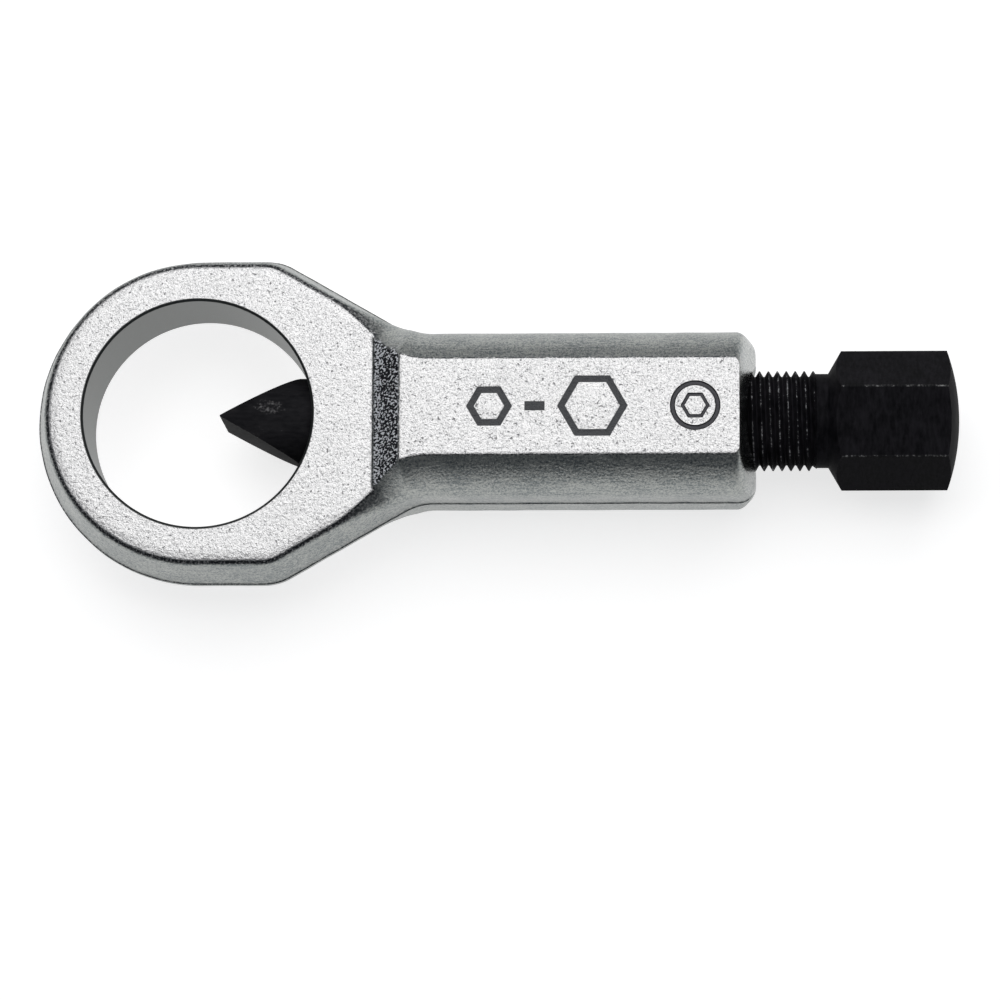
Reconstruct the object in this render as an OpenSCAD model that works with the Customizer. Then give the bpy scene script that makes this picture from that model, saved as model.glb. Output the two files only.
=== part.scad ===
// Nut splitter: a forged body with a ring, a chisel that slides across the ring, and a screw that drives it.
// All lengths are in millimetres. X runs along the screw from the ring to the hexagon head, and Z points out
// of the front face. While a piece is drawn, x = 0 is the middle of the ring, the screw's axis is the X axis,
// and z = 0 is the plane in which the two forging dies met. The last lines move it all to the part's origin.

/* [Ring and shoulders] */

// hole that goes around the nut
ring_hole_d = 32; // [30:0.5:33]
// outside of the ring and of its two flats, at the die line
ring_outer_d = 46.2; // [44:0.1:50]
// front to back at the ring
ring_thickness = 16; // [14:0.5:18]
// bevel on both mouths of the ring's hole
hole_bevel = 0.2; // [0.1:0.1:0.8]
// taper of the ring's wall, from the die line up to the rounded edge
wall_taper = 1.5; // [1:0.05:2]
// rounding between the ring's wall and its face
edge_r = 1.1; // [0.8:0.1:1.6]
// straight flat beside the ring, from the middle of the ring
flat_length = 11; // [9:0.5:13]
// slope of the shoulders from the screw's axis
shoulder_angle = 30; // [26:1:34]
// rounding where a flat turns into a shoulder
shoulder_r = 7.5; // [3:0.5:9]
// hollow where a shoulder runs into the handle
neck_r = 8; // [5:0.5:12]

// where the side turns from the ring's into the handle's: how far before the slope it starts
turn_before = 6.3; // [4:0.1:8]
// and how far behind the slope it ends
turn_after = 1.6; // [0.5:0.1:3]

/* [Handle] */

// side to side at the die line
handle_width = 23.6; // [22:0.2:26]
// front flat to back flat
handle_thickness = 25; // [23:0.5:28]
// width of the front and back flats
handle_flat = 13.4; // [11:0.1:15]
// height of the upright land on the side, above the die line
side_land = 4; // [2:0.5:6]
// middle of the ring to the machined end
handle_end = 77.8; // [76:0.1:84]
// rounding of the end, seen from the front
end_r = 2.5; // [1.5:0.1:4]
// height of the upright land on the end, above the die line
end_land = 2; // [1:0.5:4]
// how far the flats stop short of the end
end_setback = 2.2; // [1.5:0.1:4]
// rounding of the flats' corners
flat_corner_r = 0.8; // [0.3:0.1:1.4]
// middle of the ring to the foot of the slope that leads up to the flats
slope_foot = 24.8; // [22:0.1:26]
// length of that slope along X
slope_run = 3.6; // [2.5:0.1:5]
// half the height of the trimmed flash that runs around the body
flash_half = 0.5; // [0.3:0.1:0.8]
// how far the flash stands out
flash_proud = 0.15; // [0.05:0.05:0.3]

/* [Chisel] */

// round shank
chisel_d = 12.5; // [11.5:0.1:12.6]
// cutting edge to the back end
chisel_length = 52.2; // [51:0.1:54]
// cutting edge, from the middle of the ring, in the stored position
chisel_tip = 3; // [1:0.1:5]
// half the angle between the two ground flanks
flank_angle = 29; // [26:1:34]
// depth of the keyway along the back of the shank
keyway_depth = 2.5; // [2:0.1:2.6]
// bevel around the back end
tail_bevel = 0.6; // [0.3:0.1:1]

/* [Screw] */

// outside of the metric thread
thread_d = 14; // [13.5:0.1:15]
// how far the screw can still feed the chisel forward
feed_forward = 9.5; // [6:0.5:11]
// turned relief between the thread and the head: depth
relief_depth = 0.4; // [0.2:0.1:0.8]
// and its length
relief_length = 1.6; // [1:0.1:3]
// hexagon head across flats
head_af = 17; // [16:0.5:19]
// hexagon head, from its underside to its crown
head_length = 18.3; // [15:0.1:22]
// radius of the crown
crown_r = 29; // [20:0.2:40]
// slope of the head's coned underside, from square to the screw's axis, in degrees
under_angle = 30; // [20:1:35]
// how far the hexagon is turned in the stored position, in degrees
head_turn = 10.5; // [0:0.1:60]
// plain nose that runs in the chisel's socket
nose_d = 8; // [7:0.1:8.6]
// length of the nose
nose_length = 6.3; // [5.5:0.1:7]
// bevel at the mouth of the tapped bore
mouth_bevel = 0.7; // [0.4:0.1:1]

/* [Ball and retaining ring] */

// thrust ball between the nose and the chisel
ball_d = 6; // [5:0.1:6.6]
// how far the middle of the ball stands out of the nose
ball_stand = 1.2; // [0.8:0.1:2]
// wire of the retaining ring
wire_d = 1.4; // [1:0.1:1.6]
// middle of the wire, from the chisel's back end
wire_depth = 2.5; // [2:0.1:3]
// gap where the ring is split
wire_gap = 1.4; // [0.8:0.1:2.5]

/* [Guide pin] */

// slotted spring pin
pin_d = 4; // [3:0.1:4.4]
// its wall
pin_wall = 0.8; // [0.5:0.1:1.2]
// its slot
pin_slot = 0.8; // [0.4:0.1:1.2]
// middle of the pin, from the top of the slope
pin_setback = 3.6; // [3.5:0.1:5]
// how far it is driven below the back flat
pin_sunk = 0.3; // [0.1:0.1:1]

/* [Clearances] */

// chisel in its bore, screw in its bore and nose in its socket, on the radius
running = 0.05; // [0.02:0.01:0.1]
// keyway over the pin, on each side
keyway_play = 0.1; // [0.05:0.05:0.3]
// pin's tip over the keyway's floor, and keyway beyond the pin at both ends of the feed
keyway_spare = 0.45; // [0.2:0.05:0.6]
// chisel's back end to the screw's thread
tail_gap = 0.5; // [0.3:0.1:1]
// screw's head to the handle's end, with the chisel fully forward
head_gap = 0.6; // [0.2:0.1:1]
// tapped bore beyond the thread, with the chisel fully forward
bore_spare = 0.7; // [0.3:0.1:1]
// cutting edge behind the ring's wall, with the chisel fully back
edge_sunk = 0.5; // [0.2:0.1:1]
// seats of the ball and of the ring in the chisel
seat_gap = 0.01; // [0.01:0.01:0.05]

/* [Hidden] */

$fn = 96;
// how far a cutter reaches past the face that it cuts
past = 1;
// points nearer than this are one point
tiny = 1e-6;
// half the point angle of a drill
drill_slope = 59;

// ring, shoulders and handle
ring_r = ring_outer_d / 2;
ring_half = ring_thickness / 2;
handle_half = handle_thickness / 2;
handle_side = handle_width / 2;
slope_top = slope_foot + slope_run;
turn_from = slope_foot - turn_before;
turn_to = slope_top + turn_after;
// the handle's side is one arc from its upright land to the edge of the flat
side_in = handle_side - handle_flat / 2;
side_up = handle_half - side_land;
side_r = (side_in * side_in + side_up * side_up) / (2 * side_in);
side_turn = asin(side_up / side_r);
ring_in = wall_taper + edge_r;
// outline: a shoulder ends at neck_x, where its hollow starts to turn it into the handle's side
shoulder_lean = 90 - shoulder_angle;
corner_x = flat_length - shoulder_r * tan(shoulder_angle / 2);
neck_x = flat_length + (ring_r - handle_side) / tan(shoulder_angle) + neck_r * tan(shoulder_angle / 2);

// chisel, ball, ring and screw, from the front to the back
chisel_r = chisel_d / 2;
chisel_tail = chisel_tip + chisel_length;
thread_from = chisel_tail + tail_gap;
nose_from = thread_from - nose_length;
ball_at = nose_from - ball_stand;
wire_at = chisel_tail - wire_depth;
wire_bend_r = nose_d / 2 + wire_d / 16;
head_from = handle_end + feed_forward + head_gap;
head_to = head_from + head_length;
thread_to = head_from - relief_length;
relief_r = thread_d / 2 - relief_depth;
feed_back = ring_hole_d / 2 + edge_sunk - chisel_tip;
// bores and keyway
guide_bore_r = chisel_r + running;
tapped_bore_r = thread_d / 2 + running;
socket_r = nose_d / 2 + running;
guide_bore_end = thread_from - feed_forward - bore_spare;
pin_at = slope_top + pin_setback;
keyway_width = pin_d + 2 * keyway_play;
keyway_from = pin_at - feed_back - keyway_width / 2 - keyway_spare;
keyway_to = pin_at + feed_forward + keyway_width / 2 + keyway_spare;
keyway_floor = chisel_r - keyway_depth;

// the part's origin is under the middle of its bounding box
origin_x = (head_to - ring_r) / 2;

// The forging's skin runs through stations along its outline. At each one, the side climbs from the die line
// to the edge of the face, in the same number of points.

// points on the rounded part of a side
side_steps = 5;
side_last = 3 + side_steps;
// height over which the flash steps back to the side
flash_step = 0.12;

// how far the side has turned from the ring's (0) to the handle's (1), at x of the face's edge
function blend_at(x) =
    let (u = min(1, max(0, (x - turn_from) / (turn_to - turn_from))))
    u * u * (3 - 2 * u);
// half the body's thickness at its faces
function half_at(x) =
    ring_half + (handle_half - ring_half) * min(1, max(0, (x - slope_foot) / slope_run));
// how far the edge of the face stands in from the outline
function inset_at(b) = ring_in + (side_in - ring_in) * b;

// sides as [inset, share of the half thickness]; the first three points are the flash
function flash_side(k, half) =
    [k < 2 ? 0 : flash_proud, (k == 0 ? 0 : k == 1 ? flash_half : flash_half + flash_step) / half];
function ring_side(k) =
    let (a = 90 * (k - 3) / side_steps)
    k < 3 ? flash_side(k, ring_half) :
    [wall_taper + edge_r * (1 - cos(a)), 1 - edge_r * (1 - sin(a)) / ring_half];
function handle_side_at(k) =
    let (a = side_turn * (k - 3) / side_steps)
    k < 3 ? flash_side(k, handle_half) :
    [max(flash_proud, side_r * (1 - cos(a))), (side_land + side_r * sin(a)) / handle_half];

// a station is [x, y, step in to the face's edge along x and along y, blend]; a is its outward direction
function leaning(x, y, a, b) = [x, y, inset_at(b) * cos(a), inset_at(b) * sin(a), b];
function on_shoulder(x_in, b) =
    let (x = x_in + inset_at(b) * cos(shoulder_lean))
    leaning(x, ring_r - (x - flat_length) * tan(shoulder_angle), shoulder_lean, b);
function on_neck(x_in, b) =
    let (a = acos((neck_x - x_in) / (neck_r + inset_at(b))))
    leaning(neck_x - neck_r * cos(a), handle_side + neck_r * (1 - sin(a)), a, b);
// the station whose face edge is at x_in: on the shoulder, in the hollow or on the handle's side
function behind_corner(x_in) =
    let (b = blend_at(x_in))
    x_in >= neck_x ? leaning(x_in, handle_side, 90, b) :
    x_in > neck_x - (neck_r + inset_at(b)) * cos(shoulder_lean) ? on_neck(x_in, b) :
    on_shoulder(x_in, b);
function on_corner(a) =
    let (x = corner_x + shoulder_r * cos(a))
    leaning(x, ring_r - shoulder_r * (1 - sin(a)), a, blend_at(x - ring_in * cos(a)));
function on_end(a) =
    [handle_end - end_r * (1 - cos(a)), handle_side - end_r * (1 - sin(a)),
     end_setback + (flat_corner_r - end_r) * (1 - cos(a)),
     side_in + (flat_corner_r - end_r) * (1 - sin(a)), 1];
function between(from, to, count) = [for (i = [1 : count]) from + (to - from) * i / count];
shoulder_from = corner_x + (shoulder_r - ring_in) * cos(shoulder_lean);
neck_to = max(neck_x, slope_top + slope_run);
end_from = handle_end - end_r;
outline = concat(
    [for (a = [180 : -7.5 : 90]) leaning(ring_r * cos(a), ring_r * sin(a), a, 0)],
    [for (i = [0 : 4]) on_corner(90 - shoulder_angle * i / 4)],
    [for (x = between(shoulder_from, slope_foot, 6)) behind_corner(x)],
    [for (x = between(slope_foot, slope_top, 3)) behind_corner(x)],
    [for (x = between(slope_top, neck_to, 4)) behind_corner(x)],
    [for (a = [90 : -15 : 0]) on_end(a)],
    [[handle_end, 0, end_setback, 0, 1]]);

// points of one station on one side, from the die line to the face's edge; at the end of the handle, the
// skin leans evenly from its upright land to the flats
function station_points(s) =
    let (inset = inset_at(s[4]), half = half_at(s[0] - s[2]))
    [for (k = [0 : side_last])
        let (p = ring_side(k) * (1 - s[4]) + handle_side_at(k) * s[4])
        let (share = p[0] / inset, lean = max(0, half * p[1] - end_land) / (half - end_land))
        let (x = s[0] - s[2] * (s[0] < end_from ? share : lean), y = s[1] - s[3] * share)
        [x, abs(y) < tiny ? 0 : y, half * p[1]]];
// the loop around the body at one station: front middle, one side, back middle, other side
function station_loop(s) =
    let (p = station_points(s), edge = p[side_last])
    concat(
        [[edge[0], 0, edge[2]]],
        [for (k = [side_last : -1 : 0]) p[k]],
        [for (k = [1 : side_last]) [p[k][0], p[k][1], -p[k][2]]],
        [[edge[0], 0, -edge[2]]],
        [for (k = [side_last : -1 : 1]) [p[k][0], -p[k][1], -p[k][2]]],
        [for (k = [0 : side_last]) [p[k][0], -p[k][1], p[k][2]]]);
loops = [for (s = outline) station_loop(s)];
around = len(loops[0]);
skin_points = [for (loop = loops) for (p = loop) p];
function apart(i, j) = norm(skin_points[i] - skin_points[j]) > tiny;
skin_faces = [
    for (j = [0 : len(loops) - 2])
        for (m = [0 : around - 1])
            let (a = j * around + m, b = j * around + (m + 1) % around)
            for (f = [[a, b, a + around], [b, b + around, a + around]])
                if (apart(f[0], f[1]) && apart(f[1], f[2]) && apart(f[2], f[0])) f];

// what is turned about the screw's axis, from [distance along X, radius] pairs
module turned(profile) {
    rotate([90, 0, 90])
        rotate_extrude()
            polygon([for (p = profile) [p[1], p[0]]]);
}

// a round wire bent around the screw's axis, or the groove for it
module wire_loop(r) {
    translate([wire_at, 0, 0])
        rotate([0, 90, 0])
            rotate_extrude()
                translate([wire_bend_r, 0])
                    circle(r = r, $fn = 32);
}

// the forging, before it is drilled
module forging() {
    polyhedron(points = skin_points, faces = skin_faces, convexity = 6);
}

module ring_hole() {
    hole_r = ring_hole_d / 2;
    cylinder(r = hole_r, h = handle_thickness + 2 * past, center = true);
    for (side = [0, 180])
        rotate([side, 0, 0])
            translate([0, 0, ring_half - hole_bevel])
                cylinder(r1 = hole_r, r2 = hole_r + hole_bevel + past, h = hole_bevel + past);
}

module screw_bore() {
    turned([
        [0, 0],
        [0, guide_bore_r],
        [guide_bore_end, guide_bore_r],
        [guide_bore_end + (tapped_bore_r - guide_bore_r) / tan(drill_slope), tapped_bore_r],
        [handle_end - mouth_bevel, tapped_bore_r],
        [handle_end + past, tapped_bore_r + mouth_bevel + past],
        [handle_end + past, 0]]);
}

module body() {
    color([0.72, 0.73, 0.74])
        difference() {
            forging();
            ring_hole();
            screw_bore();
            translate([pin_at, 0, -handle_half - past])
                cylinder(d = pin_d, h = handle_half + past - chisel_r / 2);
        }
}

module guide_pin() {
    length = handle_half - pin_sunk - keyway_floor - keyway_spare;
    color([0.35, 0.35, 0.36])
        translate([pin_at, 0, pin_sunk - handle_half])
            difference() {
                cylinder(d = pin_d, h = length, $fn = 48);
                translate([0, 0, -past])
                    cylinder(d = pin_d - 2 * pin_wall, h = length + 2 * past, $fn = 48);
                translate([0, -pin_slot / 2, -past])
                    cube([pin_d, pin_slot, length + 2 * past]);
            }
}

module keyway() {
    half = keyway_width / 2;
    depth = keyway_depth + past;
    translate([0, 0, -chisel_r - past]) {
        for (x = [keyway_from + half, keyway_to - half])
            translate([x, 0, 0])
                cylinder(r = half, h = depth, $fn = 48);
        translate([keyway_from + half, -half, 0])
            cube([keyway_to - keyway_from - keyway_width, keyway_width, depth]);
    }
}

module nose_socket() {
    apex = ball_at - (ball_d / 2 + seat_gap) / sin(drill_slope);
    bevel = tail_bevel;
    turned([
        [apex, 0],
        [apex + socket_r / tan(drill_slope), socket_r],
        [chisel_tail - bevel, socket_r],
        [chisel_tail + past, socket_r + bevel + past],
        [chisel_tail + past, 0]]);
}

module chisel() {
    reach = chisel_r / sin(flank_angle) + past;
    color([0.16, 0.16, 0.17])
        difference() {
            turned([
                [chisel_tip, 0],
                [chisel_tip, chisel_r],
                [chisel_tail - tail_bevel, chisel_r],
                [chisel_tail, chisel_r - tail_bevel],
                [chisel_tail, 0]]);
            for (flank = [0, 1])
                translate([chisel_tip, 0, 0])
                    mirror([0, flank, 0])
                        rotate([0, 0, flank_angle])
                            translate([-past, 0, -chisel_d])
                                cube([reach + past, 2 * chisel_d, 2 * chisel_d]);
            keyway();
            nose_socket();
            wire_loop(wire_d / 2 + seat_gap);
        }
}

module thrust_ball() {
    color([0.60, 0.60, 0.62])
        translate([ball_at, 0, 0])
            sphere(d = ball_d, $fn = 48);
}

module retaining_ring() {
    color([0.45, 0.45, 0.46])
        difference() {
            wire_loop(wire_d / 2);
            translate([wire_at - wire_d, -wire_gap / 2, 0])
                cube([2 * wire_d, wire_gap, wire_bend_r + wire_d]);
        }
}

// hexagon with a coned underside and a crowned end, cut from a turned blank
module screw_head() {
    corner_r = head_af / 2 / cos(30);
    blank_r = corner_r + past;
    under = (blank_r - relief_r) * tan(under_angle);
    crown_steps = 7;
    intersection() {
        translate([head_from, 0, 0])
            rotate([head_turn, 0, 0])
                rotate([0, 90, 0])
                    rotate([0, 0, 30])
                        cylinder(r = corner_r, h = head_length, $fn = 6);
        turned(concat(
            [[head_from, 0], [head_from, relief_r], [head_from + under, blank_r]],
            [for (i = [crown_steps : -1 : 0])
                let (r = blank_r * i / crown_steps)
                [head_to - crown_r + sqrt(crown_r * crown_r - r * r), r]]));
    }
}

module spindle() {
    nose_bevel = 0.3;
    thread_bevel = 1;
    nose_r = nose_d / 2;
    thread_r = thread_d / 2;
    color([0.13, 0.13, 0.14]) {
        difference() {
            turned([
                [nose_from, 0],
                [nose_from, nose_r - nose_bevel],
                [nose_from + nose_bevel, nose_r],
                [thread_from, nose_r],
                [thread_from, thread_r - thread_bevel],
                [thread_from + thread_bevel, thread_r],
                [thread_to - relief_depth, thread_r],
                [thread_to, relief_r],
                [head_from + past, relief_r],
                [head_from + past, 0]]);
            translate([ball_at, 0, 0])
                sphere(r = ball_d / 2 + running, $fn = 48);
            wire_loop(wire_d / 2 + running);
        }
        screw_head();
    }
}

translate([-origin_x, 0, handle_half]) {
    body();
    guide_pin();
    chisel();
    thrust_ball();
    retaining_ring();
    spindle();
}
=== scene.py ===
import math

import bmesh
import bpy
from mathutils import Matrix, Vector, noise


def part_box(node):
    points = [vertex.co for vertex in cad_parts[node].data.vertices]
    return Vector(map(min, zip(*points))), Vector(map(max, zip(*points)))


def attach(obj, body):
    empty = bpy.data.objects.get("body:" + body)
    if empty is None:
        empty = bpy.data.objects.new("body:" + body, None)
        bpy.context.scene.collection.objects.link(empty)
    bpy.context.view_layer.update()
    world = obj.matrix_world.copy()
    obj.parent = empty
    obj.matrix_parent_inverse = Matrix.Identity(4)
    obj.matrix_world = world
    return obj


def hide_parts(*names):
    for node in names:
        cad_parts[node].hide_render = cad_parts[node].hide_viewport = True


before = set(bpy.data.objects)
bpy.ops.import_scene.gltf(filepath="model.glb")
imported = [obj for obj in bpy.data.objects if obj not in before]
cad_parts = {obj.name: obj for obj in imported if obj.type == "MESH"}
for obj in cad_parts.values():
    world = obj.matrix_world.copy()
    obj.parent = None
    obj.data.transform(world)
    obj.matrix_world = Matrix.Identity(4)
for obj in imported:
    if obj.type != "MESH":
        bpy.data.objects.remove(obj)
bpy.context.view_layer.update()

scene = bpy.context.scene
scene.view_settings.view_transform = "Standard"

# The studio: a sheet of white paper under one large softbox, in a dim room.
# The tool lies on the back flat of its handle, and the camera looks down on it,
# a little from the side that is at the bottom of the picture.


class Shade:
    """A socket of a node tree. Arithmetic on it adds Math nodes."""

    def __init__(self, tree, socket=None):
        self.tree = tree
        self.socket = socket

    def node(self, kind, settings, sockets, out=0):
        """Adds a node: its settings first, then the values or links of its sockets."""
        node = self.tree.nodes.new(kind)
        for name, value in settings.items():
            if name == "stops":
                set_stops(node.color_ramp.elements, value)
            else:
                setattr(node, name, value)
        for name, value in sockets.items():
            if isinstance(value, Shade):
                self.tree.links.new(value.socket, node.inputs[name])
            else:
                node.inputs[name].default_value = value
        return Shade(self.tree, node.outputs[out] if node.outputs else None)

    def output(self, name):
        """Another output of the node that this socket is on."""
        return Shade(self.tree, self.socket.node.outputs[name])

    def maths(self, operation, *values):
        """Adds a Math node on these values."""
        return self.node("ShaderNodeMath", {"operation": operation}, dict(enumerate(values)))

    def __add__(self, other):
        return self.maths("ADD", self, other)

    def __radd__(self, other):
        return self.maths("ADD", other, self)

    def __sub__(self, other):
        return self.maths("SUBTRACT", self, other)

    def __rsub__(self, other):
        return self.maths("SUBTRACT", other, self)

    def __mul__(self, other):
        return self.maths("MULTIPLY", self, other)

    def __pow__(self, other):
        return self.maths("POWER", self, other)

    def __abs__(self):
        return self.maths("ABSOLUTE", self)

    def most(self, other):
        """The larger of this and another value."""
        return self.maths("MAXIMUM", self, other)

    def ramp(self, start, end):
        """0 where this is below start, 1 where it is above end, and straight between."""
        return self.node("ShaderNodeMapRange", {}, {"Value": self, "From Min": start, "From Max": end})

    def rise(self, start, end):
        """0 where this is below start, 1 where it is above end, and smooth between."""
        return self.node(
            "ShaderNodeMapRange",
            {"interpolation_type": "SMOOTHSTEP"},
            {"Value": self, "From Min": start, "From Max": end},
        )

    def mix(self, low, high):
        """The colour low where this is 0, and high where it is 1.
        Inputs 6 and 7 and output 2 are the node's colour sockets."""
        ends = [value if isinstance(value, Shade) else (*value, 1) for value in (low, high)]
        return self.node(
            "ShaderNodeMix",
            {"data_type": "RGBA"},
            {"Factor": self, 6: ends[0], 7: ends[1]},
            out=2,
        )

    def split(self):
        """The three numbers of a vector."""
        first = self.node("ShaderNodeSeparateXYZ", {}, {0: self})
        return [first.output(axis) for axis in "XYZ"]

    def stretched(self, scale):
        """This place with its axes scaled; noise on it is drawn out along the axis scaled least."""
        return self.node("ShaderNodeMapping", {}, {"Vector": self, "Scale": scale})

    def speckle(self, scale, detail, roughness):
        """Noise from 0 to 1 at this place on the surface; scale is in cells to the metre."""
        return self.node(
            "ShaderNodeTexNoise",
            {},
            {"Vector": self, "Scale": scale, "Detail": detail, "Roughness": roughness},
        )

    def raised(self, strength, distance):
        """The normal of a surface with this height on it; distance is in metres."""
        return self.node(
            "ShaderNodeBump",
            {},
            {"Strength": strength, "Distance": distance, "Height": self},
        )


def set_stops(elements, stops):
    """Gives a colour ramp its [place, colour] stops."""
    for _ in range(len(stops) - len(elements)):
        elements.new(0.5)
    for element, (place_on_ramp, colour) in zip(elements, stops):
        element.position = place_on_ramp
        element.color = (*colour, 1)


def empty_tree(holder):
    """The cleared node tree of a material or of the world."""
    holder.use_nodes = True
    holder.node_tree.nodes.clear()
    return Shade(holder.node_tree)


camera_data = bpy.data.cameras.new("camera")
camera_data.sensor_fit = "HORIZONTAL"
camera_data.sensor_width = 36
camera_data.lens = 207.83
camera_data.clip_start = 0.01
camera = bpy.data.objects.new("camera", camera_data)
camera.location = (0.0412, -0.148, 0.8085)
camera.rotation_euler = [math.radians(angle) for angle in (9.764, 2.885, 0.285)]
scene.collection.objects.link(camera)
scene.camera = camera

softbox_wide = 0.95
softbox_deep = 0.80
softbox_radiance = 2.2
softbox_data = bpy.data.lights.new("softbox", "AREA")
softbox_data.shape = "RECTANGLE"
softbox_data.size = softbox_wide
softbox_data.size_y = softbox_deep
softbox_data.energy = softbox_radiance * math.pi * softbox_wide * softbox_deep
softbox = bpy.data.objects.new("softbox", softbox_data)
softbox.location = (0.0, 0.30, 0.74)
softbox.rotation_euler.x = math.radians(-22)
softbox.visible_camera = False
scene.collection.objects.link(softbox)

# the room is dark, and paler close to the floor and straight overhead
room_tones = [
    (0.50, (0.15, 0.155, 0.165)),
    (0.60, (0.07, 0.078, 0.09)),
    (0.90, (0.06, 0.066, 0.075)),
    (1.00, (0.30, 0.30, 0.30)),
]
scene.world = bpy.data.worlds.new("room")
room = empty_tree(scene.world)
upward = room.node("ShaderNodeTexCoord", {}, {}, out="Generated").split()[2]
tone = room.node("ShaderNodeValToRGB", {"stops": room_tones}, {0: upward * 0.5 + 0.5})
glow = room.node("ShaderNodeBackground", {}, {"Color": tone, "Strength": 1.0})
room.node("ShaderNodeOutputWorld", {}, {"Surface": glow})

# the paper keeps the tool's shadow; its lift to white is seen and mirrored alike
paper_half = 1.5
paper_z = -0.0002
paper_colour = (0.52, 0.52, 0.52, 1)
paper_lift = 0.74
paper_mesh = bpy.data.meshes.new("paper")
paper_corners = [(-paper_half, -paper_half), (paper_half, -paper_half)]
paper_corners += [(paper_half, paper_half), (-paper_half, paper_half)]
paper_mesh.from_pydata([(x, y, paper_z) for x, y in paper_corners], [], [(0, 1, 2, 3)])
paper = bpy.data.objects.new("paper", paper_mesh)
scene.collection.objects.link(paper)
white_paper = bpy.data.materials.new("white_paper")
shade = empty_tree(white_paper)
ray = shade.node("ShaderNodeLightPath", {}, {}, out="Is Camera Ray")
seen = ray.most(ray.output("Is Glossy Ray")).most(ray.output("Is Transmission Ray"))
matt = shade.node("ShaderNodeBsdfDiffuse", {}, {"Color": paper_colour})
lift = shade.node("ShaderNodeEmission", {}, {"Strength": seen * paper_lift})
both = shade.node("ShaderNodeAddShader", {}, {0: matt, 1: lift})
shade.node("ShaderNodeOutputMaterial", {}, {"Surface": both})
paper_mesh.materials.append(white_paper)

# The body is one drop forging of carbon steel: a ring that goes round the nut, and a barrel handle.
# Its faces are belted before it is blasted and plated a bright silver. The ring's hole, the guide
# bore and the tapped bore are machined through it, and the flash is trimmed off along the die line.

# sizes in millimetres, from the middle of the ring and the plane in which the dies met
ring_r = 23.1
ring_half = 8.0
hole_r = 16.0
hole_bevel = 0.3
wall_taper = 1.5
edge_r = 1.1
flat_length = 11.0
shoulder_turn = math.radians(30)
shoulder_r = 7.5
turn_from = 18.5
turn_to = 30.0
neck_r = 8.0
handle_side = 11.8
handle_half = 12.5
handle_flat = 13.4
side_land = 4.0
flat_edge_r = 1.2
handle_end = 77.8
end_r = 2.5
end_land = 2.0
end_setback = 2.2
flat_corner_r = 0.8
slope_foot = 24.8
slope_top = 28.4
slope_round = 0.5
flash_half = 0.5
flash_proud = 0.15
flash_step = 0.12
guide_bore_r = 6.3
guide_bore_end = 45.5
tapped_bore_r = 7.05
mouth_bevel = 0.7
pin_at = 32.0
pin_r = 2.0

# a cutter runs this far past the metal; points closer than weld, in metres, are one
past = 1.0
weld = 1e-7

quarter = math.pi / 2
per_metre = 1000
body_low, body_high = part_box("body")
ring_x = body_low.x * per_metre + ring_r
die_z = (body_low.z + body_high.z) / 2 * per_metre


def place(point):
    """A point in millimetres from the middle of the ring, in the frame's metres."""
    x, y, z = point
    return ((x + ring_x) / per_metre, y / per_metre, (z + die_z) / per_metre)


def solid(name, points, faces):
    """An object with a closed mesh, from points in millimetres."""
    mesh = bpy.data.meshes.new(name)
    shape = bmesh.new()
    corners = [shape.verts.new(place(point)) for point in points]
    for face in faces:
        shape.faces.new([corners[i] for i in face])
    bmesh.ops.remove_doubles(shape, verts=shape.verts, dist=weld)
    bmesh.ops.recalc_face_normals(shape, faces=shape.faces)
    shape.to_mesh(mesh)
    shape.free()
    piece = bpy.data.objects.new(name, mesh)
    scene.collection.objects.link(piece)
    return piece


def turned(name, profile, axis="x", at=(0, 0, 0), sides=128, start=0.0, hollow=False):
    """Turns [along, radius] pairs about an axis; with sides=6 it makes a hexagon.
    A profile starts and ends on the axis, unless it is hollow and closes on itself."""
    points = []
    rings = []
    for along, radius in profile:
        count = sides if radius > 0 else 1
        rings.append([len(points) + i for i in range(count)])
        for i in range(count):
            angle = start + 2 * math.pi * i / sides
            across, over = radius * math.cos(angle), radius * math.sin(angle)
            local = (along, across, over) if axis == "x" else (across, over, along)
            points.append([local[k] + at[k] for k in range(3)])
    faces = []
    pairs = list(zip(rings, rings[1:]))
    if hollow:
        pairs.append((rings[-1], rings[0]))
    for low, high in pairs:
        for i in range(sides):
            j = (i + 1) % sides
            face = [low[i % len(low)], low[j % len(low)], high[j % len(high)], high[i % len(high)]]
            face = list(dict.fromkeys(face))
            if len(face) > 2:
                faces.append(face)
    return solid(name, points, faces)


def upright(name, outline, bottom, top):
    """A straight solid that stands on an outline seen from the front."""
    count = len(outline)
    points = [(x, y, z) for z in (bottom, top) for x, y in outline]
    faces = [list(range(count)), list(range(count, 2 * count))]
    faces += [[i, (i + 1) % count, count + (i + 1) % count, count + i] for i in range(count)]
    return solid(name, points, faces)


def hold(piece):
    """Makes what the modifiers give the piece's own mesh."""
    graph = bpy.context.evaluated_depsgraph_get()
    mesh = bpy.data.meshes.new_from_object(piece.evaluated_get(graph))
    shape = bmesh.new()
    shape.from_mesh(mesh)
    bmesh.ops.remove_doubles(shape, verts=shape.verts, dist=weld)
    shape.to_mesh(mesh)
    shape.free()
    piece.modifiers.clear()
    old = piece.data
    piece.data = mesh
    bpy.data.meshes.remove(old)
    mesh.name = piece.name


def machine(piece, tools, operation="DIFFERENCE"):
    """Cuts each tool out of the piece, or joins or overlaps the two."""
    for tool in tools:
        step = piece.modifiers.new(tool.name, "BOOLEAN")
        step.operation = operation
        step.solver = "EXACT"
        step.object = tool
        hold(piece)
        spent = tool.data
        bpy.data.objects.remove(tool)
        bpy.data.meshes.remove(spent)


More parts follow.
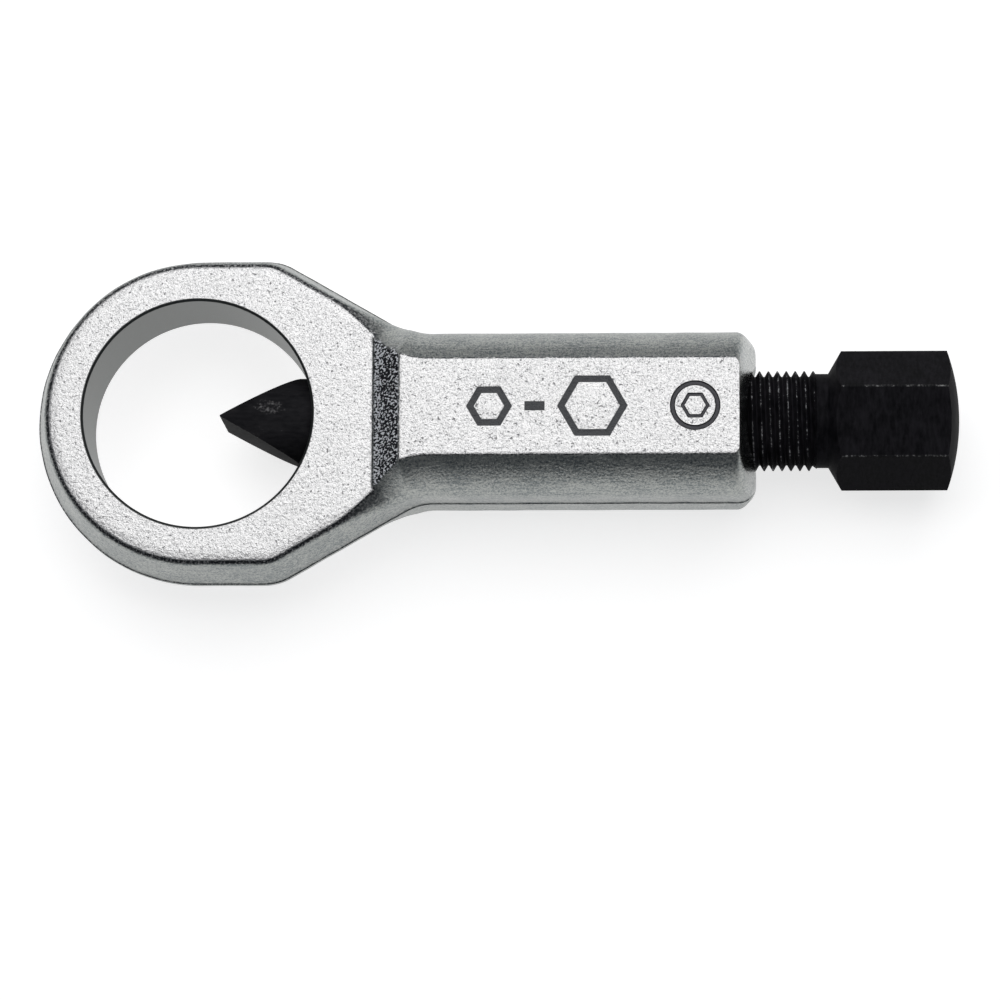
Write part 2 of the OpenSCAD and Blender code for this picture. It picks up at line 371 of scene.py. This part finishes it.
def smooth(piece, sharp_from):
    """Shades the piece smooth, with edges sharper than this angle left crisp."""
    piece.data.shade_smooth()
    piece.data.set_sharp_from_angle(angle=math.radians(sharp_from))
    weighted = piece.modifiers.new("weighted", "WEIGHTED_NORMAL")
    weighted.keep_sharp = True


# side of the forging as [inset, share of the half thickness], from the die line up to the face
side_in = handle_side - handle_flat / 2
side_up = handle_half - side_land
side_r = (side_in**2 + side_up**2) / (2 * side_in)
side_turn = math.asin(side_up / side_r)
ring_in = wall_taper + edge_r
wall_steps = 4
turn_steps = 14
edge_steps = 5


def flash_side(half):
    """The trimmed flash, which stands a little proud of the side."""
    over = flash_half + flash_step
    return [(0, 0), (0, flash_half / half), (flash_proud, over / half)]


def straight(start, end, steps):
    """Points on a straight line after its start, up to its end."""
    return [tuple(s + (e - s) * i / steps for s, e in zip(start, end)) for i in range(1, steps + 1)]


def ring_side():
    """The ring's tapered wall and its rounded edge."""
    foot = (flash_proud, flash_half + flash_step)
    wall = straight(foot, (wall_taper, ring_half - edge_r), wall_steps)
    arc = []
    for i in range(1, turn_steps + 1):
        a = quarter * i / turn_steps
        inset = wall_taper + edge_r * (1 - math.cos(a))
        arc.append((inset, ring_half - edge_r * (1 - math.sin(a))))
    return flash_side(ring_half) + [(inset, z / ring_half) for inset, z in wall + arc]


def handle_profile():
    """The handle's land at the die line, its crowned side, and the eased edge of its flat."""
    foot = (flash_proud, flash_half + flash_step)
    land = straight(foot, (flash_proud, side_land), wall_steps)
    tangent = flat_edge_r * math.tan((quarter - side_turn) / 2)
    arc_end = side_turn - tangent / side_r
    arc_steps = turn_steps - edge_steps
    arc = []
    for i in range(1, arc_steps + 1):
        a = arc_end * i / arc_steps
        inset = max(flash_proud, side_r * (1 - math.cos(a)))
        arc.append((inset, side_land + side_r * math.sin(a)))
    edge = []
    for i in range(1, edge_steps + 1):
        t = i / edge_steps
        blend = ((1 - t) ** 2, 2 * t * (1 - t), t * t)
        ends = (arc[-1], (side_in, handle_half), (side_in + tangent, handle_half))
        edge.append(tuple(sum(b * p[k] for b, p in zip(blend, ends)) for k in range(2)))
    return flash_side(handle_half) + [(inset, z / handle_half) for inset, z in land + arc + edge]


# outline stations as [x, y, step in along x, step in along y, blend from ring to handle]
shoulder_lean = quarter - shoulder_turn
shoulder_bend = math.tan(shoulder_turn / 2)
shoulder_length = (ring_r - handle_side) / math.tan(shoulder_turn)
corner_x = flat_length - shoulder_r * shoulder_bend
neck_x = flat_length + shoulder_length + neck_r * shoulder_bend


def ease(u):
    """A smooth step from 0 to 1."""
    u = min(1.0, max(0.0, u))
    return u * u * (3 - 2 * u)


def blend_at(x):
    """How far the section has turned from the ring's to the handle's."""
    return ease((x - turn_from) / (turn_to - turn_from))


def inset_at(b):
    """How far the face's edge lies inside the outline."""
    return ring_in + (side_in - ring_in) * b


def bent(x, w):
    """max(0, x), with its corner rounded over w to both sides."""
    return 0.0 if x < -w else x if x > w else (x + w) ** 2 / (4 * w)


def half_at(x):
    """Half the thickness, which climbs the slope from the ring to the handle."""
    climb = (handle_half - ring_half) / (slope_top - slope_foot)
    return ring_half + climb * (bent(x - slope_foot, slope_round) - bent(x - slope_top, slope_round))


def leaning(x, y, a, b):
    """A station whose side steps in against the direction a."""
    return (x, y, inset_at(b) * math.cos(a), inset_at(b) * math.sin(a), b)


def behind_corner(x_in):
    """The station whose face edge is at x_in: on the shoulder, in its hollow or on the handle."""
    b = blend_at(x_in)
    inset = inset_at(b)
    if x_in >= neck_x:
        return leaning(x_in, handle_side, quarter, b)
    if x_in > neck_x - (neck_r + inset) * math.cos(shoulder_lean):
        a = math.acos((neck_x - x_in) / (neck_r + inset))
        return leaning(neck_x - neck_r * math.cos(a), handle_side + neck_r * (1 - math.sin(a)), a, b)
    x = x_in + inset * math.cos(shoulder_lean)
    return leaning(x, ring_r - (x - flat_length) * math.tan(shoulder_turn), shoulder_lean, b)


def on_corner(a):
    """A station on the rounded corner between the ring's straight side and the shoulder."""
    x = corner_x + shoulder_r * math.cos(a)
    y = ring_r - shoulder_r * (1 - math.sin(a))
    return leaning(x, y, a, blend_at(x - ring_in * math.cos(a)))


def on_end(a):
    """A station on the rounded corner of the handle's end."""
    trim = flat_corner_r - end_r
    x = handle_end - end_r * (1 - math.cos(a))
    y = handle_side - end_r * (1 - math.sin(a))
    return (x, y, end_setback + trim * (1 - math.cos(a)), side_in + trim * (1 - math.sin(a)), 1.0)


def spaced(start, end, steps):
    """Even steps after a start, up to an end."""
    return [start + (end - start) * i / steps for i in range(1, steps + 1)]


ring_steps = 40
flat_steps = 5
corner_steps = 10
shoulder_steps = 12
slope_steps = 26
neck_steps = 8
barrel_steps = 16
end_corner_steps = 12
end_steps = 4
shoulder_from = corner_x + (shoulder_r - ring_in) * math.cos(shoulder_lean)
slope_from = slope_foot - 2 * slope_round
slope_to = slope_top + 2 * slope_round
end_from = handle_end - end_r
outline = [leaning(-ring_r, 0, math.pi, 0)]
for a in spaced(math.pi, quarter, ring_steps):
    outline.append(leaning(ring_r * math.cos(a), ring_r * math.sin(a), a, 0))
outline += [leaning(x, ring_r, quarter, blend_at(x)) for x in spaced(0, corner_x, flat_steps)]
outline += [on_corner(a) for a in spaced(quarter, shoulder_lean, corner_steps)]
outline += [behind_corner(x) for x in spaced(shoulder_from, slope_from, shoulder_steps)]
outline += [behind_corner(x) for x in spaced(slope_from, slope_to, slope_steps)]
outline += [behind_corner(x) for x in spaced(slope_to, neck_x, neck_steps)]
outline += [behind_corner(x) for x in spaced(neck_x, end_from - end_setback, barrel_steps)]
end_first = len(outline)
outline += [on_end(quarter)]
outline += [on_end(a) for a in spaced(quarter, 0, end_corner_steps)]
end_narrows = on_end(0)[3] / on_end(0)[1]
for y in spaced(handle_side - end_r, 0, end_steps):
    outline.append((handle_end, y, end_setback, y * end_narrows, 1.0))

# a forged side is uneven; the unevenness fades out towards the belted face
wobble_scale = 0.28
wobble_depth = 0.10
wobble_to = 0.8
flash_wobble = 0.10
flash_points = 2
ring_points = ring_side()
handle_points = handle_profile()
side_count = len(ring_points)


def wobble(x, y, z):
    """A forged side's unevenness at a place, from 0 to 1."""
    return 0.5 + 0.5 * noise.noise(Vector((x, y, z)) * wobble_scale)


def station_side(station, side, front):
    """Points of one station on one side and one face, from the die line to the face's edge."""
    x, y, step_x, step_y, b = station
    inset = inset_at(b)
    half = half_at(x - step_x)
    points = []
    for k in range(side_count):
        depth = ring_points[k][0] * (1 - b) + handle_points[k][0] * b
        height = ring_points[k][1] * (1 - b) + handle_points[k][1] * b
        uneven = wobble(x, y * side, height * half * front)
        fade = 1 - ease((height - wobble_to) / (1 - wobble_to))
        depth += uneven * (flash_wobble if k < flash_points else wobble_depth) * fade
        share = depth / inset
        lean = max(0, half * height - end_land) / (half - end_land)
        along = share if x < end_from else lean
        points.append((x - step_x * along, (y - step_y * share) * side, half * height * front))
    return points


def station_loop(station):
    """The loop around the body at one station, from the middle of the front face."""
    quarters = {(s, f): station_side(station, s, f) for s in (1, -1) for f in (1, -1)}
    edge = quarters[1, 1][-1]
    loop = [(edge[0], 0, edge[2])]
    loop += quarters[1, 1][::-1] + quarters[1, -1][1:]
    loop += [(edge[0], 0, -edge[2])]
    loop += quarters[-1, -1][:0:-1] + quarters[-1, 1]
    return loop


# the two faces stop at the edge of the handle's end; the sides run on round it
loops = [station_loop(station) for station in outline]
around = len(loops[0])
middles = (0, 2 * side_count)
skin_faces = []
for j in range(len(loops) - 1):
    for m in range(around):
        n = (m + 1) % around
        near = [j * around + m, j * around + n]
        far = [(j + 1) * around + n, (j + 1) * around + m]
        if m in middles or n in middles:
            if j >= end_first:
                continue
            if j == end_first - 1:
                rim = n if m in middles else m
                far = [k * around + rim for k in range(end_first, len(loops))]
                if n in middles:
                    far.reverse()
        skin_faces.append(near + far)
body = solid("forged_body", [point for loop in loops for point in loop], skin_faces)

flare = ring_half + past
hole_profile = [(-flare, 0), (-flare, hole_r + hole_bevel + past), (hole_bevel - ring_half, hole_r)]
hole_profile += [(-along, radius) for along, radius in hole_profile[::-1]]
bore_profile = [
    (0, 0),
    (0, guide_bore_r),
    (guide_bore_end, guide_bore_r),
    (guide_bore_end + tapped_bore_r - guide_bore_r, tapped_bore_r),
    (handle_end - mouth_bevel, tapped_bore_r),
    (handle_end + past, tapped_bore_r + mouth_bevel + past),
    (handle_end + past, 0),
]
pin_hole_top = -guide_bore_r / 2
pin_hole_foot = -handle_half - past
pin_hole_profile = [(pin_hole_foot, 0), (pin_hole_foot, pin_r), (pin_hole_top, pin_r), (pin_hole_top, 0)]

# a stamped circle round a hexagon, and an etched sign for small to large nuts: all generic
stamp_at = 69.5
stamp_r = 3.5
stamp_line = 0.72
stamp_hexagon_r = 2.03
stamp_hexagon_line = 0.576
stamp_depth = 0.22
etch_depth = 0.09
etch_line = 1.3
small_nut_at = 41.0
large_nut_at = 55.3
small_nut_r = 3.3
large_nut_r = 5.0
dash_from = 45.9
dash_to = 48.7
dash_half = etch_line / 2
groove_lean = 0.2


def groove(name, at, outer, line, depth, sides):
    """A cutter for a line of this width round a place on the handle, sunk into its front flat."""
    lean = line * groove_lean
    top = handle_half + past
    floor = handle_half - depth
    profile = [
        (top, outer),
        (handle_half, outer),
        (floor, outer - lean),
        (floor, outer - line + lean),
        (handle_half, outer - line),
        (top, outer - line),
    ]
    return turned(name, profile, "z", (at, 0, 0), sides, hollow=True)


dash_line = [(dash_from, -dash_half), (dash_to, -dash_half), (dash_to, dash_half), (dash_from, dash_half)]
machine(body, [
    turned("hole_tool", hole_profile, "z", sides=192),
    turned("bore_tool", bore_profile),
    turned("pin_drill", pin_hole_profile, "z", (pin_at, 0, 0), sides=48),
    groove("stamped_circle", stamp_at, stamp_r, stamp_line, stamp_depth, sides=96),
    groove("stamped_hexagon", stamp_at, stamp_hexagon_r, stamp_hexagon_line, stamp_depth, sides=6),
    groove("etched_small_nut", small_nut_at, small_nut_r, etch_line, etch_depth, sides=6),
    groove("etched_large_nut", large_nut_at, large_nut_r, etch_line, etch_depth, sides=6),
    upright("etched_dash", dash_line, handle_half - etch_depth, handle_half + past),
])
smooth(body, sharp_from=24)


def new_steel(name):
    """A new material, its empty tree, and the place on the surface in the frame's metres."""
    material = bpy.data.materials.new(name)
    shade = empty_tree(material)
    return material, shade, shade.node("ShaderNodeTexCoord", {}, {}, out="Object")


def measured(here):
    """The x, y and z of a place in millimetres, from the middle of the ring and the die plane."""
    x, y, z = here.split()
    return x * per_metre - ring_x, y * per_metre, z * per_metre - die_z


def metal(shade, sockets):
    """Ends a material in one Principled shader with these sockets."""
    surface = shade.node("ShaderNodeBsdfPrincipled", {}, sockets)
    shade.node("ShaderNodeOutputMaterial", {}, {"Surface": surface})


def dress(piece, *materials):
    """Gives a piece its materials, in the order of its slots."""
    piece.data.materials.clear()
    for material in materials:
        piece.data.materials.append(material)


# plating: bright on the belted faces, greyer and grainier where the skin is as forged
face_silver = (0.685, 0.68, 0.68)
face_pit = (0.27, 0.272, 0.28)
speck_dark = (0.07, 0.07, 0.075)
side_grey = (0.42, 0.43, 0.41)
side_dark = (0.145, 0.165, 0.172)
# the rounded edges get painted shade: a dark speckle in place of the dark room that they reflect
edge_painted_shade = (0.055, 0.057, 0.062)
# the slope gets painted shade, a dark tone, and painted glints, bright specks, in place of what it reflects
slope_painted_shade = (0.026, 0.027, 0.034)
slope_painted_glint = (0.84, 0.86, 0.90)
bored_grey = (0.13, 0.137, 0.132)
etch_ink = (0.020, 0.022, 0.028)
# the stamped groove gets painted shade, in place of the shade inside its recess
stamp_painted_shade = (0.05, 0.05, 0.054)
plated, shade, here = new_steel("plated_forging")
x, y, z = measured(here)

# upright_share is 1 on a flat that faces front or back, and 0 on a wall that stands straight up
normal = here.output("Normal").split()
normal_x = normal[0]
upright_share = abs(normal[2])

# grain of the blasted skin, from the finest up
fine = here.speckle(6500, 2, 0.6)
salt = here.stretched((0.62, 1.0, 0.62)).speckle(3700, 1, 0.4)
coarse = here.speckle(3300, 1, 0.5)
rolled = here.stretched((0.12, 1.0, 1.0)).speckle(2600, 2, 0.6)
pebble = here.speckle(2400, 2, 0.5)
dots = here.speckle(2300, 1, 0.4).rise(0.67, 0.73)
patch = here.speckle(160, 3, 0.55)
grit = fine * 0.75 + pebble * 0.25

# where the surface is a belted flat, a blasted slope that also takes painted shade and painted glints,
# an edge, a faced end or inside the ring; the grain breaks up the border of the slope
slope_break = 0.5
barrel = x.rise(turn_from, turn_to)
flat_face = upright_share.rise(0.93, 0.985)
slope_lean = 0 - normal_x + (coarse - 0.5) * slope_break
slope = slope_lean.rise(0.3, 0.6) * upright_share.rise(0.3, 0.5)
slope = slope * x.rise(slope_foot - 0.6, slope_foot + 0.2)
slope = slope * (1 - x.rise(slope_top - 0.2, slope_top + 0.8))
ring_edge = upright_share.rise(0.62, 0.85) * (1 - barrel)
barrel_edge = upright_share.rise(0.885, 0.915) * barrel
edge = (ring_edge + barrel_edge) * (1 - flat_face) * (1 - slope)
faced = normal_x.rise(0.6, 0.85) * x.rise(end_from, end_from + 1)
bored_r = hole_r + hole_bevel
from_ring = (x * x + y * y) ** 0.5
bored = 1 - from_ring.rise(bored_r + 0.02, bored_r + 0.08)

# where a mark is sunk into the front flat
etch_from = small_nut_at - small_nut_r - 1
etch_to = large_nut_at + large_nut_r + 1
mark_half = large_nut_r + 0.5
sunk = (handle_half - z).rise(0.02, 0.05) * z.rise(handle_half - 0.5, handle_half - 0.3)
sunk = sunk * (1 - abs(y).rise(mark_half, mark_half + 0.3))
# painted shade fills the stamped groove
shaded_stamp = sunk * x.rise(stamp_at - stamp_r - 1, stamp_at - stamp_r)
shaded_stamp = shaded_stamp * (1 - x.rise(stamp_at + stamp_r, stamp_at + stamp_r + 1))
etched = sunk * x.rise(etch_from, etch_from + 1) * (1 - x.rise(etch_to - 1, etch_to))

# the slope's painted glints, painted highlights in place of its reflections, are thickest at its foot
foot_wide = 2.2
foot_more = 0.07
foot_painted_glint = (1 - x.rise(slope_foot, slope_foot + foot_wide)) * foot_more
painted_glint_share = slope * (salt + foot_painted_glint).rise(0.51, 0.61)

forged_tone = patch * 0.12 + grit * 0.43 + coarse * 0.27 + rolled * 0.18
forged_tone = forged_tone.rise(0.39, 0.59).mix(side_dark, side_grey)
face_tone = grit.rise(0.32, 0.56).mix(face_pit, face_silver)
face_tone = (dots * 0.8).mix(face_tone, speck_dark)
# painted shade on the edges, broken up by the grain
edge_shaded_tone = coarse.rise(0.42, 0.86).mix(edge_painted_shade, face_silver)
colour = flat_face.mix(forged_tone, face_tone)
colour = edge.mix(colour, edge_shaded_tone)
colour = slope.mix(colour, painted_glint_share.mix(slope_painted_shade, slope_painted_glint))
colour = bored.mix(colour, bored_grey)
colour = shaded_stamp.mix(colour, stamp_painted_shade)
colour = etched.mix(colour, etch_ink)
roughness = 0.30 + fine * 0.12 + flat_face * 0.06 + slope * 0.1
roughness = roughness + bored * 0.06 - edge * 0.06 - faced * 0.16
grain = fine * 0.6 + pebble * 1.1 + patch * 0.3 + slope * salt
grain = grain * (1 - bored * 0.92) * (1 - faced * 0.6)

# the belt has rolled the ring's faces off a little towards the outline
roll_wide = 1.6
roll_past = 0.4
roll_fall = 2.3
roll_to = ring_r - ring_in + roll_past
left_of_middle = (0 - x).most(0)
to_outline = (left_of_middle * left_of_middle + y * y) ** 0.5
to_shoulder = x * math.sin(shoulder_turn) + abs(y) * math.cos(shoulder_turn)
shoulder_away = flat_length * math.sin(shoulder_turn) + ring_r * math.cos(shoulder_turn)
to_outline = to_outline.most(to_shoulder - (shoulder_away - ring_r))
roll = to_outline.ramp(roll_to - roll_wide, roll_to)
grain = grain - roll * roll * (1 - barrel) * roll_fall
metal(shade, {
    "Base Color": colour,
    "Metallic": (1 - etched) * (1 - painted_glint_share * 0.85),
    "Roughness": roughness,
    "Normal": grain.raised(0.8, 0.0001),
})
dress(body, plated)
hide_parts("body")
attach(body, "frame")

# The guide pin is a slotted spring pin, rolled from strip and hardened. It is driven into the back
# of the handle, and its end runs in the chisel's keyway, so that the chisel can't turn.

strip_dark = (0.16, 0.165, 0.175)
strip_bright = (0.30, 0.30, 0.31)
spring_steel, shade, here = new_steel("spring_steel")
drawn = here.stretched((1.0, 1.0, 0.08)).speckle(4000, 3, 0.6)
oil = here.speckle(500, 2, 0.5)
metal(shade, {
    "Base Color": (drawn * 0.6 + oil * 0.4).rise(0.3, 0.7).mix(strip_dark, strip_bright),
    "Metallic": 1.0,
    "Roughness": 0.26 + oil * 0.2,
    "Normal": drawn.raised(0.3, 0.00003),
})
dress(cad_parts["guide_pin"], spring_steel)

# The chisel is a round bar of tool steel, ground to a wedge across the ring, hardened and blackened.
# It slides in the guide bore. Its back end has a keyway for the pin, and a socket for the screw's nose.

chisel_r = 6.25
chisel_tip = 3.0
chisel_tail = 55.2
flank_turn = math.radians(29)
edge_land = 0.08
tail_bevel = 0.6
keyway_half = 2.1
keyway_depth = 2.5
keyway_from = 15.95
keyway_to = 44.05
keyway_steps = 24
socket_r = 4.05
socket_apex = 44.69
drill_turn = math.radians(59)
wire_at = 52.7
wire_bend_r = 4.0875
wire_groove_r = 0.71
groove_steps = 8

groove_arc = []
for i in range(groove_steps + 1):
    a = math.pi * i / groove_steps
    radius = max(socket_r, wire_bend_r + wire_groove_r * math.sin(a))
    groove_arc.append((wire_at + wire_groove_r * math.cos(a), radius))
chisel_profile = [
    (chisel_tip, 0),
    (chisel_tip, chisel_r),
    (chisel_tail - tail_bevel, chisel_r),
    (chisel_tail, chisel_r - tail_bevel),
    (chisel_tail, socket_r + tail_bevel),
    (chisel_tail - tail_bevel, socket_r),
    *groove_arc,
    (socket_apex + socket_r / math.tan(drill_turn), socket_r),
    (socket_apex, 0),
]
chisel = turned("ground_chisel", chisel_profile)


def flank_tool(side):
    """What the grinding wheel takes off on one side of the cutting edge."""
    reach = 2 * chisel_r
    end = chisel_tip + reach
    line = [
        (chisel_tip - past, edge_land),
        (chisel_tip, edge_land),
        (end, edge_land + reach * math.tan(flank_turn)),
        (end, 2 * reach),
        (chisel_tip - past, 2 * reach),
    ]
    return upright("flank_wheel", [(x, y * side) for x, y in line], -reach, reach)


keyway_line = []
for i in range(keyway_steps + 1):
    a = quarter + math.pi * i / keyway_steps
    keyway_line.append((keyway_from + keyway_half * (1 + math.cos(a)), keyway_half * math.sin(a)))
for i in range(keyway_steps + 1):
    a = -quarter + math.pi * i / keyway_steps
    keyway_line.append((keyway_to - keyway_half * (1 - math.cos(a)), keyway_half * math.sin(a)))
keyway_tool = upright("keyway_cutter", keyway_line, -chisel_r - past, keyway_depth - chisel_r)
machine(chisel, [flank_tool(1), flank_tool(-1), keyway_tool])


def ease_edges(piece, width, sharp_from, worn_slot):
    """Breaks the piece's sharp edges, which take the material in this slot."""
    step = piece.modifiers.new("broken_edges", "BEVEL")
    step.width = width / per_metre
    step.segments = 2
    step.limit_method = "ANGLE"
    step.angle_limit = math.radians(sharp_from)
    step.material = worn_slot
    hold(piece)


def blackened(name, coat, haze, worn, worn_from, along, rub=None):
    """Black oxide on steel: a thin dark coat that is rubbed through in places.
    rub gives how worn a place is, from its x, y and z in millimetres."""
    material, shade, here = new_steel(name)
    drawn = here.stretched(along).speckle(2200, 3, 0.6)
    cloud = here.speckle(240, 3, 0.6)
    grit = here.speckle(3000, 2, 0.5)
    wear = cloud * 0.35 + grit * 0.35 + drawn * 0.3
    if rub:
        wear = wear + rub(*measured(here))
    rubbed = wear.rise(worn_from, worn_from + 0.16)
    tint = (cloud * 0.5 + drawn * 0.5).rise(0.3, 0.7).mix(coat, haze)
    metal(shade, {
        "Base Color": rubbed.mix(tint, worn),
        "Metallic": rubbed * 0.8,
        "Roughness": 0.52 + cloud * 0.2 - rubbed * 0.1,
        "Specular IOR Level": 0.025,
        "Normal": (grit + drawn).raised(0.35, 0.00004),
    })
    return material


rub_x = 10.0
rub_y = 1.2
rub_squeeze = 0.5
rub_core = 0.1
rub_reach = 2.6
rub_low = 4.5
rub_high = 6.0
rub_depth = 0.15


def chisel_rub(x, y, z):
    """A nut's corner has rubbed the top of the chisel, a little behind its edge."""
    away = ((x - rub_x) * rub_squeeze) ** 2 + (y - rub_y) ** 2
    return (1 - away.rise(rub_core, rub_reach)) * z.rise(rub_low, rub_high) * rub_depth


chisel_black = blackened(
    "blackened_chisel",
    coat=(0.008, 0.008, 0.0095),
    haze=(0.020, 0.0195, 0.0215),
    worn=(0.11, 0.108, 0.11),
    worn_from=0.60,
    along=(0.3, 1.0, 1.0),
    rub=chisel_rub,
)
chisel_edge = blackened(
    "rubbed_chisel",
    coat=(0.010, 0.010, 0.011),
    haze=(0.03, 0.03, 0.03),
    worn=(0.16, 0.16, 0.16),
    worn_from=0.50,
    along=(0.3, 1.0, 1.0),
)
dress(chisel, chisel_black, chisel_edge)
ease_edges(chisel, width=0.10, sharp_from=32, worn_slot=1)
smooth(chisel, sharp_from=30)
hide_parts("chisel")
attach(chisel, "cutter")

# The thrust ball is a polished bearing ball between the screw's nose and the chisel.
# It takes the whole force, so that the screw can turn while the chisel can't.

ball_at = 48.2
ball_r = 3.0
ball_steps = 40
ball_dull = (0.58, 0.58, 0.60)
ball_bright = (0.70, 0.70, 0.71)
ball_profile = []
for i in range(ball_steps + 1):
    a = math.pi * i / ball_steps
    radius = ball_r * math.sin(a) if 0 < i < ball_steps else 0
    ball_profile.append((ball_at - ball_r * math.cos(a), radius))
ball = turned("bearing_ball", ball_profile, sides=80)
smooth(ball, sharp_from=60)

bearing_steel, shade, here = new_steel("bearing_steel")
lapping = here.speckle(6000, 2, 0.5)
smear = here.speckle(700, 2, 0.5)
metal(shade, {
    "Base Color": smear.rise(0.3, 0.7).mix(ball_dull, ball_bright),
    "Metallic": 1.0,
    "Roughness": 0.06 + smear * 0.12,
    "Normal": lapping.raised(0.1, 0.00001),
})
dress(ball, bearing_steel)
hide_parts("thrust_ball")
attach(ball, "cutter")

# The retaining ring is a split ring of round spring wire. It is sprung into a groove that the
# chisel's socket and the screw's nose share, and draws the chisel back with the screw.

dress(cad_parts["retaining_ring"], spring_steel)

# The pressure screw is turned from hexagon bar: a plain nose in the chisel's socket, a fine thread,
# a short relief, and a crowned hexagon for a spanner. It is heat-treated, blackened and oiled.

nose_r = 4.0
nose_from = 49.4
nose_bevel = 0.3
ball_seat_r = 3.05
thread_from = 55.7
thread_to = 86.3
thread_r = 7.0
thread_bevel = 1.0
thread_pitch = 1.25
thread_depth = 0.767
thread_root = 0.03
thread_flank_turn = math.radians(30)
thread_runout = 0.4
thread_sink = 0.5
thread_clear = 0.1
relief_r = 6.6
collar_sink = 0.6
collar_back = 0.2
head_from = 87.9
head_to = 106.2
head_across_flats = 17.0
head_turn = math.radians(10.5)
under_turn = math.radians(30)
crown_r = 29.0
crown_steps = 14
screw_groove_r = 0.75

# one turn of the thread as [share of the pitch, radius]
crest = 0.125
flank = thread_depth * math.tan(thread_flank_turn) / thread_pitch
thread_form = [
    (0.0, thread_r),
    (crest, thread_r),
    (crest + flank, thread_r - thread_depth),
    (crest / 2 + 0.5, thread_r - thread_depth - thread_root),
    (1 - flank, thread_r - thread_depth),
]
thread_sides = 72
spare_turns = 2
thread_start = thread_from - spare_turns * thread_pitch
thread_turns = math.ceil((thread_to - thread_from) / thread_pitch) + 2 * spare_turns


def helix(name):
    """A right-hand thread as one closed solid, longer than it is needed at both ends."""
    form_count = len(thread_form)
    row_count = thread_turns * form_count
    points = []
    for row in range(row_count):
        turn, k = divmod(row, form_count)
        share, radius = thread_form[k]
        for i in range(thread_sides):
            a = 2 * math.pi * i / thread_sides
            along = thread_start + thread_pitch * (turn + share + i / thread_sides)
            points.append((along, radius * math.cos(a), radius * math.sin(a)))

    def corner(row, i):
        """The point i steps along a row; after a whole turn it is on the row one turn further."""
        return (row + form_count if i == thread_sides else row) * thread_sides + i % thread_sides

    faces = []
    last = row_count - form_count - 1
    for row in range(last):
        for i in range(thread_sides):
            faces.append([corner(row, i), corner(row, i + 1), corner(row + 1, i + 1), corner(row + 1, i)])
    for first in (0, last):
        rim = [corner(first, i) for i in range(thread_sides + 1)]
        rim += [corner(first + k, 0) for k in range(form_count - 1, 0, -1)]
        middle = len(points)
        points.append((sum(points[i][0] for i in rim) / len(rim), 0, 0))
        faces += [[rim[i], rim[(i + 1) % len(rim)], middle] for i in range(len(rim))]
    return solid(name, points, faces)


thread = helix("thread")
blank_profile = [
    (thread_from, 0),
    (thread_from, thread_r - thread_bevel),
    (thread_from + thread_bevel + thread_clear, thread_r + thread_clear),
    (thread_to - thread_runout, thread_r + thread_clear),
    (thread_to + thread_runout, relief_r - thread_sink),
    (thread_to + thread_runout, 0),
]
machine(thread, [turned("thread_blank", blank_profile, sides=96)], "INTERSECT")

seat_arc = []
seat_open = math.asin((nose_from - ball_at) / ball_seat_r)
for i in range(groove_steps + 1):
    a = quarter - (quarter - seat_open) * i / groove_steps
    seat_arc.append((ball_at + ball_seat_r * math.sin(a), ball_seat_r * math.cos(a) if i else 0))
ring_groove = []
groove_open = math.asin((wire_bend_r - nose_r) / screw_groove_r)
for i in range(groove_steps + 1):
    a = math.pi + groove_open + (math.pi - 2 * groove_open) * i / groove_steps
    ring_groove.append((wire_at + screw_groove_r * math.cos(a), wire_bend_r + screw_groove_r * math.sin(a)))
nose_profile = [
    *seat_arc,
    (nose_from, nose_r - nose_bevel),
    (nose_from + nose_bevel, nose_r),
    *ring_groove,
    (thread_from + past, nose_r),
    (thread_from + past, 0),
]
collar_profile = [
    (thread_to - past, 0),
    (thread_to - past, relief_r - collar_sink),
    (thread_to - collar_back, relief_r),
    (head_from + past, relief_r),
    (head_from + past, 0),
]
corner_r = head_across_flats / 2 / math.cos(math.pi / 6)
blank_r = corner_r + past
under_length = (blank_r - relief_r) * math.tan(under_turn)
head_profile = [(head_from, 0), (head_from, relief_r), (head_from + under_length, blank_r)]
for i in range(crown_steps, -1, -1):
    r = blank_r * i / crown_steps
    head_profile.append((head_to - crown_r + math.sqrt(crown_r**2 - r**2), r))
bar_from = head_from - past
bar_to = head_to + past
hexagon_bar = [(bar_from, 0), (bar_from, corner_r), (bar_to, corner_r), (bar_to, 0)]
screw = turned("pressure_screw", hexagon_bar, sides=6, start=head_turn)

crest_rub = 0.145


def screw_rub(x, y, z):
    """The crests of the thread are rubbed bright in places."""
    from_axis = (y * y + z * z) ** 0.5
    on_crest = from_axis.rise(thread_r - 0.10, thread_r - 0.01)
    on_crest = on_crest * (1 - from_axis.rise(thread_r + 0.02, thread_r + 0.06))
    return on_crest * (1 - x.rise(thread_to - 0.3, thread_to + 0.1)) * crest_rub


screw_black = blackened(
    "blackened_screw",
    coat=(0.0030, 0.0030, 0.0038),
    haze=(0.0150, 0.0143, 0.0170),
    worn=(0.34, 0.34, 0.35),
    worn_from=0.64,
    along=(1.0, 0.3, 0.3),
    rub=screw_rub,
)
screw_edge = blackened(
    "rubbed_screw",
    coat=(0.008, 0.008, 0.009),
    haze=(0.024, 0.024, 0.026),
    worn=(0.22, 0.22, 0.22),
    worn_from=0.48,
    along=(1.0, 0.3, 0.3),
)
dress(screw, screw_black, screw_edge)
ease_edges(screw, width=0.16, sharp_from=50, worn_slot=1)
machine(screw, [turned("head_blank", head_profile)], "INTERSECT")
machine(screw, [turned("collar", collar_profile), thread, turned("nose", nose_profile)], "UNION")
smooth(screw, sharp_from=30)
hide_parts("spindle")
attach(screw, "screw")
